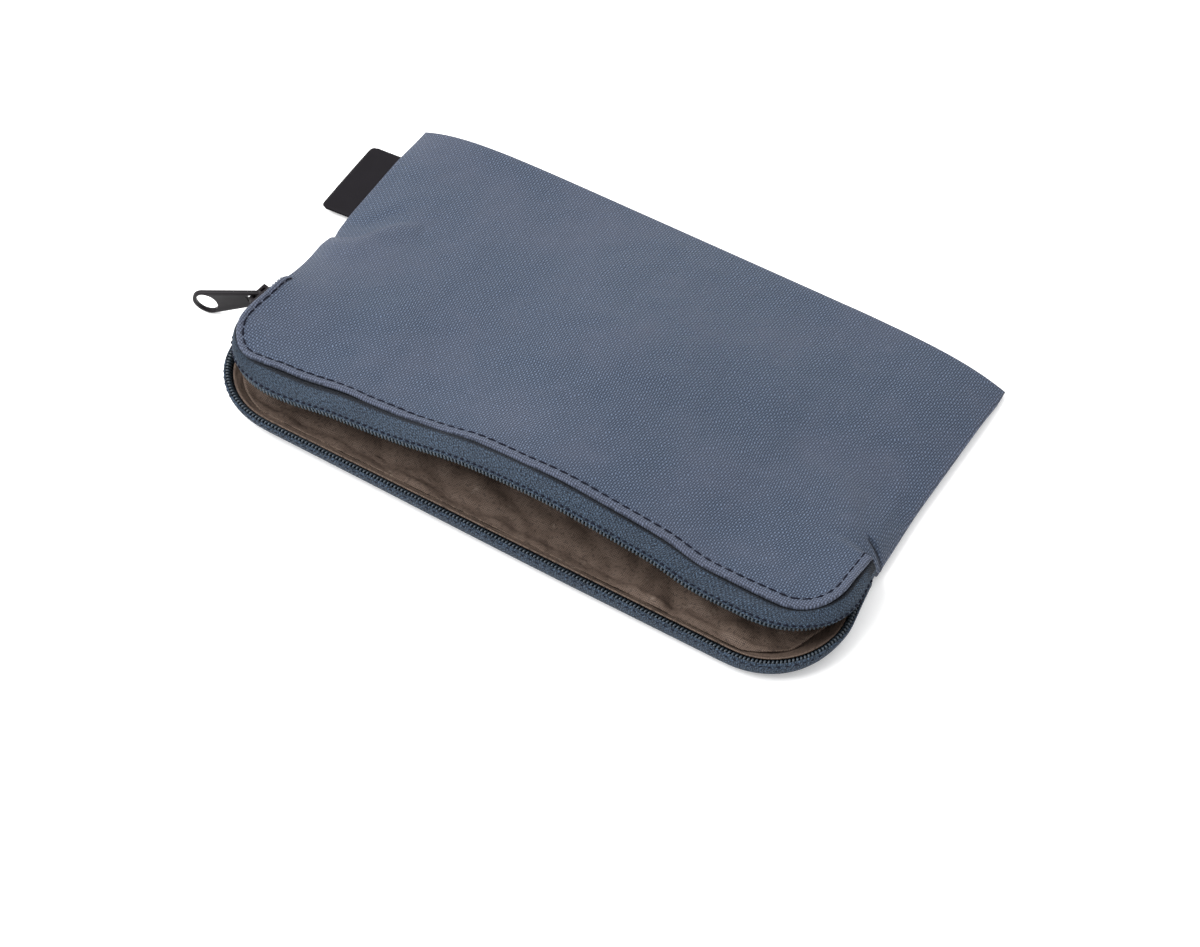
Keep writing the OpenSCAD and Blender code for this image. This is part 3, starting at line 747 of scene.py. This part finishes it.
def back_plan(u, reach):
    """Plan x and reach on the back panel, whose near edge runs a little askew."""
    half = (right_x(reach) - left_x(reach)) / 2 - 0.4 + 0.3 * ease((reach - 60) / 20)
    half = half - back_round(reach)
    x = (right_x(reach) + left_x(reach)) / 2 + u * half
    return x, reach + 0.0145 * x * ease((reach - 84) / 19)


def back_canvas():
    """Flat on the floor, with its far edge wrapped up to the far seam."""
    wrap = np.array([(1.2, 6.9), (0.2, 6.7), (-0.6, 5.8), (-0.95, 4.6), (-1.0, 3.2), (-0.75, 2.0),
                     (-0.1, 1.1), (0.9, 0.6), (2.2, 0.46)])
    flat = np.concatenate([np.linspace(3.5, 60, 62), np.linspace(60.6, 83.4, 50),
                           closing_rows(84, 102.95, 40)])
    u = panel_columns(150)
    s = np.clip((front_z(u * 84.2, u, 0) - 1.95) / 5.85, 0, 1)  # 0 where the far seam comes down
    bulge = 1 + 0.35 * waves(u * 84, 0 * u, 22, 23)
    rows = []
    for k, (wr, wz) in enumerate(wrap):
        reach = (0.3 + k * 0.35) * (1 - s) + (wr * bulge) * s
        z = BACK_MID + 0.3 * (1 - s) + (wz - BACK_MID) * s
        rows.append(np.stack([back_plan(u, 0 * u)[0], reach, z], -1))
    for r in flat:
        x, reach = back_plan(u, np.full_like(u, r))
        z = BACK_MID + back_side(u, r) * np.abs(u) ** 16 + 0.35 * ease((reach - 92) / 6)
        rows.append(np.stack([x, reach, z], -1))
    grid = np.array(rows)
    run = np.hypot(np.diff(grid[..., 1], axis=0), np.diff(grid[..., 2], axis=0))
    arc = np.concatenate([0 * run[:1], np.cumsum(run, 0)])
    uv = np.stack([grid[..., 0], arc], -1) / 100
    worn = ease((3 - (1 - np.abs(u)) * 84) / 3)[None, :] * 0.6 + 0 * grid[..., 0]
    worn[:len(wrap)] = 0.5
    obj = strip("canvas_back", grid, BACK_T, uv, {"worn": worn})
    obj.data.materials.append(CANVAS)
    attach(obj, "pouch")
    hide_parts("back_panel")
    return obj


# ---------------------------------------------------------------- linings
def front_lining():
    """Hangs a little creased under the upper panel."""
    rows = np.concatenate([np.linspace(4, 78, 70), closing_rows(80.4, 91, 26)])
    reach, u = np.meshgrid(rows, np.linspace(-0.95, 0.95, 150), indexing="ij")
    x = front_plan(u, reach)
    creases = np.abs(waves(x, reach, 16, 31)) + 0.5 * np.abs(waves(x, reach, 7, 37))
    z = front_z(x, u, reach) + np.minimum(cloth_relief(x, reach), 0) - 1.9
    z -= 0.28 * creases * ease(reach / 20)
    grid = np.stack([x, reach, z], -1)
    obj = strip("lining_front", grid, LINING_T, np.stack([x, reach], -1) / 100)
    obj.data.materials.append(LINING)
    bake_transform(obj)
    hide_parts("front_lining", "front_lip_lining")
    return obj


def back_lining():
    """Lies creased on the back panel and turns up at the mouth."""
    rows = np.concatenate([np.linspace(5, 78, 74), 84 + 18.2 * np.sin(np.linspace(-0.3, math.pi / 2, 44))])
    reach, u = np.meshgrid(rows, np.linspace(-0.975, 0.975, 190), indexing="ij")
    x, r = back_plan(u, reach)
    rim_gap, _ = near_path(BACK_RIM_PATH, x, r)
    up = 2.6 * ease((4.5 - rim_gap) / 4.5) * ease((reach - 70) / 8)
    creases = sum(share * np.abs(waves(x, r, size, seed))
                  for share, size, seed in ((1, 15, 41), (0.7, 7, 43), (0.3, 3.4, 47)))
    open_share = ease((rim_gap - 0.5) / 3) * ease((reach - 8) / 20)
    z = 1.35 + up + 0.6 * creases * open_share
    z += np.maximum(0, back_side(u, reach) - 1.5) * np.abs(u) ** 16
    grid = np.stack([x, r, z], -1)
    obj = strip("lining_back", grid, LINING_T, np.stack([x, r], -1) / 100)
    obj.data.materials.append(LINING)
    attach(obj, "pouch")
    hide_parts("back_lining")
    return obj


def lining_border():
    """The lining's edge runs up the inside of the lower tape, almost to the coil."""
    rim, edge = BACK_RIM_PATH, BACK_COIL_PATH
    out = outward(rim)
    top = edge - out * 2.2 - [0, 0, 0.8]
    toe = rim - out * 1.9 + [0, 0, 1.0]
    foot = rim - out * 5.6 + [0, 0, 0.7]
    cols = []
    for t in np.linspace(0, 1, 12):
        wrinkle = waves(rim[:, 0], rim[:, 1] + 20 * t, 6, 61)[:, None] * 0.22 * math.sin(math.pi * t)
        curve = top * (1 - t) ** 2 + toe * 2 * t * (1 - t) + foot * t * t
        cols.append(curve + np.array([0, 0, 1.0]) * wrinkle)
    grid = np.stack(cols[::-1], 1)
    uv = np.stack(np.broadcast_arrays(lengths(edge)[:, None], np.linspace(0, 9, 12)[None]), -1) / 100
    obj = strip("lining_border", grid, LINING_T, uv)
    obj.data.materials.append(LINING)
    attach(obj, "pouch")
    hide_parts("back_lining")
    return obj


# ---------------------------------------------------------------- zip
def fullness(path):
    """The lower tape bows out along the front, most at the right, and hardly at the sides."""
    return (0.15 + 0.85 * ease((path[:, 0] + 80) / 110)) * ease(outward(path)[:, 1] * 1.15)


def tape_upper():
    """From under the turned edge out to the coil."""
    rim, coil_line = FRONT_RIM_PATH, FRONT_COIL_PATH
    out = outward(rim)
    up = np.array([0, 0, 1.0])
    root = rim - up * TAPE_DROP
    shares = np.array([0, 0.06, 0.13, 0.22, 0.32, 0.43, 0.54, 0.65, 0.75, 0.84, 0.91, 0.96, 1.0])
    cols = [root - out * 3.2 - up * 0.9, root - out * 1.4 - up * 0.6]
    for t in shares:
        swell = math.sin(math.pi * t)
        ripple = waves(rim[:, 0], rim[:, 1] + 30 * t, 9, 53)[:, None] * 0.10 * swell
        cols.append(root + (coil_line - root) * t + out * 0.25 * swell + up * (0.35 * swell + ripple))
    grid = np.stack(cols, 1)
    across = np.concatenate([[0, 1.8], 3.2 + shares * 7.2])
    along = lengths(coil_line)
    uv = np.stack(np.broadcast_arrays(along[:, None], across[None]), -1) / 100
    # Painted shade: under the hem and at the tape's right end.
    end_shade = ease((along - along[-1] + 5.5) / 4)[:, None] * (across < 8.2)[None]
    shade = np.maximum(ease((4.15 - across) / 0.7)[None] * 0.95, 0.85 * end_shade)
    obj = strip("zip_tape_upper", grid, TAPE_T, uv, {"shade": shade})
    obj.data.materials.append(TAPE)
    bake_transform(obj)
    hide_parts("zip_tape_front", "zip_tape_front_ends")
    return obj


def lower_section(t):
    """The lower tape's curve from the panel's edge (t 0) out and up to the coil (t 1)."""
    rim, coil_line = BACK_RIM_PATH, BACK_COIL_PATH
    out = outward(rim)
    full = fullness(rim)[:, None]
    reach_out = np.sum((coil_line - rim) * out, 1)[:, None]
    p0 = rim - out * 0.4 + [0, 0, 0.35]
    p1 = rim + out * (0.5 + 2.4 * full) + [0, 0, -0.35]
    p2 = rim + out * (np.maximum(reach_out, 1.0) + 1.3 * full) + [0, 0, 2.2]
    return p0 * (1 - t) ** 3 + 3 * p1 * t * (1 - t) ** 2 + 3 * p2 * t * t * (1 - t) + coil_line * t ** 3


def tape_lower():
    """From under the back panel's near edge out and up to the coil."""
    rim = BACK_RIM_PATH
    out = outward(rim)
    ts = np.linspace(0, 1, 14)
    root = [rim - out * 4.0 + [0, 0, 0.6], rim - out * 1.8 + [0, 0, 0.5]]
    grid = np.stack(root + [lower_section(t) for t in ts], 1)
    across = np.concatenate([[0, 2.2], 4.2 + ts * 8])
    uv = np.stack(np.broadcast_arrays(lengths(BACK_COIL_PATH)[:, None], across[None]), -1) / 100
    # Painted shade: the whole lower tape is darkened evenly.
    obj = strip("zip_tape_lower", grid, TAPE_T, uv, {"shade": np.full(grid.shape[:2], 0.175)})
    obj.data.materials.append(TAPE)
    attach(obj, "pouch")
    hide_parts("zip_tape_back")
    return obj


def coil_frame(edge, inner, want):
    """Direction across the tape towards its edge, and the side of the tape that the coil is on."""
    along = unit(edge - inner)
    side = unit(np.cross(tangents(edge), along))
    flip = np.sign(np.sum(side * want, 1))[:, None]
    return along, side * np.where(flip == 0, 1, flip)


def helix(edge, inner, want, pitch=1.0, steps=12, half_w=1.3, half_t=0.5, back=1.05, off=0.72):
    """A wound coil along the tape's edge."""
    along, side = coil_frame(edge, inner, want)
    s = lengths(edge)
    turns = int(s[-1] / pitch)
    t = np.linspace(0.5, s[-1] - 0.5, turns * steps)
    pos, a, b = (carry(v, s, t) for v in (edge, along, side))
    phase = math.tau * t / pitch
    head = np.cos(phase)[:, None]
    return pos + a * (head * half_w - back) + b * (np.sin(phase)[:, None] * half_t + off)


def coil(name, path, body, nodes):
    """One coil's wire; the upper one has no body of its own."""
    v, f, uv = tube_data(to_frame(path), 0.3 * MM, 6)
    obj = make(name, v, f, uv)
    obj.data.materials.append(COIL_LOWER_SHADED if body else COIL_UPPER)
    if body:
        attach(obj, body)
    else:
        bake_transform(obj)
    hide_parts(*nodes)
    return obj


def zip_coils():
    """The upper coil is under its tape, and the lower one is on the inside of its tape."""
    root = FRONT_RIM_PATH - [0, 0, TAPE_DROP]
    upper = helix(FRONT_COIL_PATH, root, np.tile([0, 0, -1.0], (len(root), 1)))
    lower = helix(BACK_COIL_PATH, lower_section(0.62), -outward(BACK_RIM_PATH), back=1.3)
    coil("zip_coil_upper", upper, None, ["zip_coil_front", "zip_coil_front_ends"])
    coil("zip_coil_lower", lower, "pouch", ["zip_coil_back"])


def stitches(path, pitch, length, lift, normal, sink=0.22, start=0.6):
    """Stitch centre lines along a path; each dips into the cloth at both ends."""
    along = lengths(path)
    made = []
    for k in range(int((along[-1] - 2 * start) / pitch)):
        s = start + k * pitch + np.linspace(0, length, 7)
        p = carry(path, along, s)
        n = carry(normal, along, s)
        arc = np.sin(np.linspace(0, math.pi, 7)) ** 0.6
        made.append(to_frame(p + n * (lift * arc - sink * (1 - arc))[:, None]))
    return made


def surface_top(x, reach):
    """Height of the upper panel's top at the stitch line."""
    centre = (right_x(reach) + left_x(reach)) / 2
    u = (x - centre) / np.maximum(front_half(reach, x - centre), 1)
    return front_z(x, np.clip(u, -1, 1), reach) + cloth_relief(x, reach)


def topstitch_upper():
    """Stitches along the upper turned edge, each with a short thread stub at its needle hole, painted shade
    for the hole.
    """
    outline = front_outline()
    along = lengths(outline)
    even = sample(outline, np.linspace(0, along[-1], 900))
    for _ in range(50):
        even[1:-1] = even[1:-1] * 0.5 + (even[:-2] + even[2:]) * 0.25
    line = even - outward(even) * stitch_inset(even[:, 0])[:, None]
    line[:, 1] += 0.12 * np.sin(even[:, 0] / 4.1)
    first = np.argmax(line[:, 1] > 67.6)
    last = len(line) - np.argmax(line[::-1, 1] > 67.2)
    line = line[first:last]
    line[:, 2] = surface_top(line[:, 0], line[:, 1]) + HEM_LIFT * 0.9 - 0.22
    up = np.tile([0.0, 0, 1.0], (len(line), 1))
    rows = stitches(line, HEM_PITCH, 2.3, 0.18, up, 0.45)
    # Painted shade: a short thread stub at the start of each stitch darkens its needle hole.
    hole_shade = [r[:1] + np.linspace(-0.0001, 0.0004, 4)[:, None] * unit(r[-1:] - r[:1]) + [0, 0, 0.00042]
             for r in rows]
    obj = tubes("topstitch_upper", rows + hole_shade, 0.22 * MM, 6, 0.6)
    obj.data.materials.append(THREAD)
    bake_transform(obj)
    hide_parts("topstitch_front", "topstitch_front_ends")
    return obj


def sewing_upper():
    """The visible row of needle marks along the upper tape."""
    rim, edge = FRONT_RIM_PATH, FRONT_COIL_PATH
    root = rim - [0, 0, TAPE_DROP]
    t = 0.92
    _, side = coil_frame(edge, root, np.tile([0, 0, 1.0], (len(edge), 1)))
    swell = math.sin(math.pi * t)
    line = root + (edge - root) * t + outward(rim) * 0.25 * swell + [0, 0, 0.35 * swell] + side * 0.3
    obj = tubes("tape_sewing_upper", stitches(line, 1.75, 0.95, 0.1, side, 0.25), 0.25 * MM, 6, 0.7)
    obj.data.materials.append(THREAD)
    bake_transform(obj)
    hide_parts("tape_sewing_front")
    return obj


def riding_threads(name, paths, nodes, radius):
    """Threads that stay with the pouch."""
    obj = tubes(name, paths, radius * MM, 6, 0.7)
    obj.data.materials.append(THREAD)
    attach(obj, "pouch")
    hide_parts(*nodes)
    return obj


def sewing_lower():
    """The row of sewing along the lower tape, below its coil."""
    line = lower_section(0.93)
    keep = line[:, 1] > 93  # past the slider's travel, and round to the right corner
    out = outward(BACK_RIM_PATH)[keep]
    rows = stitches(line[keep] + out * 0.1, 2.1, 1.1, 0.08, out, 0.2)
    return riding_threads("tape_sewing_lower", rows, ["tape_sewing_back"], 0.2)


def topstitch_lower():
    """The stitching underneath the back panel's near edge."""
    rim = BACK_RIM_PATH
    keep = slice(PATH_RUN + PATH_TURN + 6, PATH_RUN + PATH_TURN + PATH_FRONT - 6)
    line = (rim - outward(rim) * 1.6)[keep]
    line[:, 2] = 0.42
    down = np.tile([0.0, 0, -1.0], (len(line), 1))
    rows = stitches(line, HEM_PITCH, 2.1, 0.12, down, 0.1)
    return riding_threads("topstitch_lower", rows, ["topstitch_back"], 0.2)


# ---------------------------------------------------------------- seams and small trim
def seam_threads():
    """The sewing in the far seam and in both side seams."""
    u = np.linspace(-0.72, 0.72, 60)
    far = np.stack([u * 84, np.full_like(u, 0.9), front_z(u * 84, u, 0.9) - 1.05], -1)
    back = np.tile([0.0, -1.0, 0], (len(far), 1))
    riding_threads("seam_thread_far", stitches(far, 3.0, 2.1, 0.1, back, 0.1), ["seam_thread_far"], 0.16)
    for side, name in ((-1, "left"), (1, "right")):
        reach = np.linspace(18, 52, 40)
        x = (right_x(reach) if side > 0 else left_x(reach)) - side * 0.7
        line = np.stack([x, reach, BACK_MID + back_side(np.full_like(reach, side), reach)], -1)
        out = np.tile([float(side), 0, 0], (len(line), 1))
        riding_threads(f"seam_thread_{name}", stitches(line, 3.0, 2.1, 0.1, out, 0.1),
                       [f"seam_thread_{name}"], 0.14)


def bartacks():
    """Close strands of thread across both tapes at each end of the zip."""
    for name, top, low, push in (("left", FRONT_COIL[0], BACK_COIL[0], 0.2),
                                 ("right", FRONT_COIL[5], BACK_COIL[5], -0.6)):
        strands = []
        for k in range(8):
            back = np.array([push, 0.3 + 0.4 * k, 0])
            a, b = np.array(top) + back, np.array(low) + back
            t = np.linspace(0.0, 1.0, 7)[:, None]
            strands.append(to_frame(a + (b - a) * t))
        riding_threads(f"bartack_{name}", strands, [f"bartack_{name}"], 0.2)


def side_label():
    """A rubber tab with rounded corners, held in the left side seam."""
    radius, out, length = 1.7, 8.9, 24.5
    s, t = np.meshgrid(np.linspace(0, 1, 40), np.linspace(0, 1, 18), indexing="ij")
    along = s * length
    end = np.minimum(along, length - along)
    short = np.where(end < radius, radius - np.sqrt(np.clip(radius ** 2 - (radius - end) ** 2, 0, None)), 0)
    x = -84.1 + 1.0 - t * (out + 1.0 - short)
    edge = np.minimum(np.minimum(end, (1 - t) * 9), 0.35)
    half = 0.33 * np.sqrt(np.clip(1 - (1 - edge / 0.35) ** 2, 0, 1))
    z = 1.55 + 0.35 * t ** 2 * np.cos(2.2 * (s - 0.45))
    reach = 10.5 + along + 0.7 * t
    obj = shell("side_label", np.stack([x, reach, z + half], -1), np.stack([x, reach, z - half], -1),
                np.stack([x, reach], -1) / 100)
    obj.data.materials.append(LABEL)
    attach(obj, "pouch")
    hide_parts("side_label")
    return obj


def cast_part(node, body, name, bevel_width):
    """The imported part's own shape with its edges eased, as a die casting has them."""
    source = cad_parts[node]
    obj = bpy.data.objects.new(name, source.data.copy())
    obj.data.materials.clear()
    bpy.context.scene.collection.objects.link(obj)
    weld = obj.modifiers.new("weld", "WELD")
    weld.merge_threshold = 0.00001
    bevel = obj.modifiers.new("edges", "BEVEL")
    bevel.width = bevel_width
    bevel.segments = 3
    bevel.limit_method = "ANGLE"
    bevel.angle_limit = math.radians(35)
    obj.data.materials.append(METAL)
    for p in obj.data.polygons:
        p.use_smooth = True
    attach(obj, body)
    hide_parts(node)
    return obj


# ---------------------------------------------------------------- studio
def studio():
    """A white table under even light, as in the photograph."""
    floor = make("floor", np.array([(-3, -3, 0), (3, -3, 0), (3, 3, 0), (-3, 3, 0)], float),
                 [(0, 1, 2, 3)], np.array([(0, 0), (1, 0), (1, 1), (0, 1)], float))
    floor.data.materials.append(floor_material())
    world = bpy.data.worlds.new("studio")
    bpy.context.scene.world = world
    world.use_nodes = True
    back = world.node_tree.nodes["Background"]
    back.inputs[0].default_value = (1, 1, 1, 1)
    back.inputs[1].default_value = 0.90
    bpy.context.scene.view_settings.view_transform = "Standard"
    for name, place, size, power in (("key", (-0.60, -0.35, 0.95), 1.0, 21.0),
                                     ("fill", (0.1, 1.0, 1.0), 1.1, 6.0)):
        data = bpy.data.lights.new(name, "AREA")
        data.size = size
        data.energy = power
        lamp = bpy.data.objects.new(name, data)
        lamp.location = place
        aim = Vector((0, 0, 0)) - Vector(place)
        lamp.rotation_euler = aim.to_track_quat("-Z", "Y").to_euler()
        bpy.context.scene.collection.objects.link(lamp)


def camera():
    """The photograph's view, worked out from the cards and the pouch's outline."""
    right = Vector((0.8529, 0.5220, -0.0067)).normalized()
    back = Vector((0.3332, -0.5345, 0.7767))
    back = (back - right * back.dot(right)).normalized()
    up = back.cross(right)
    data = bpy.data.cameras.new("photo_view")
    data.sensor_width = 36
    data.lens = 132.44
    obj = bpy.data.objects.new("photo_view", data)
    turn = Matrix((right, up, back)).transposed().to_4x4()
    obj.matrix_world = Matrix.Translation((0.3700, -0.5920, 0.8320)) @ turn
    bpy.context.scene.collection.objects.link(obj)
    bpy.context.scene.camera = obj


FRONT_RIM_PATH = mouth_path(FRONT_RIM, ARCH_RISE)
FRONT_COIL_PATH = mouth_path(FRONT_COIL, ARCH_RISE * 0.98)
BACK_COIL_PATH = mouth_path(BACK_COIL, 0)
BACK_RIM_PATH = mouth_path(BACK_RIM, 0)

CANVAS = canvas_material()
TAPE = tape_material()
LINING = lining_material()
THREAD = thread_material()
COIL_UPPER = coil_material("coil_nylon_upper", (0.010, 0.017, 0.025), (0.040, 0.060, 0.080))
# The lower coil uses the same nylon in a darker copy: painted shade for the coil inside the mouth.
COIL_LOWER_SHADED = coil_material("coil_nylon_lower_shaded", (0.003, 0.005, 0.009), (0.040, 0.060, 0.080))
LABEL = label_material()
METAL = metal_material()

front_canvas()
back_canvas()
front_lining()
back_lining()
lining_border()
tape_upper()
tape_lower()
zip_coils()
topstitch_upper()
topstitch_lower()
sewing_upper()
sewing_lower()
seam_threads()
bartacks()
side_label()
cast_part("slider_body", "slider", "slider", 0.00022)
cast_part("pull_tab", "tab", "pull_tab_metal", 0.0002)
studio()
camera()
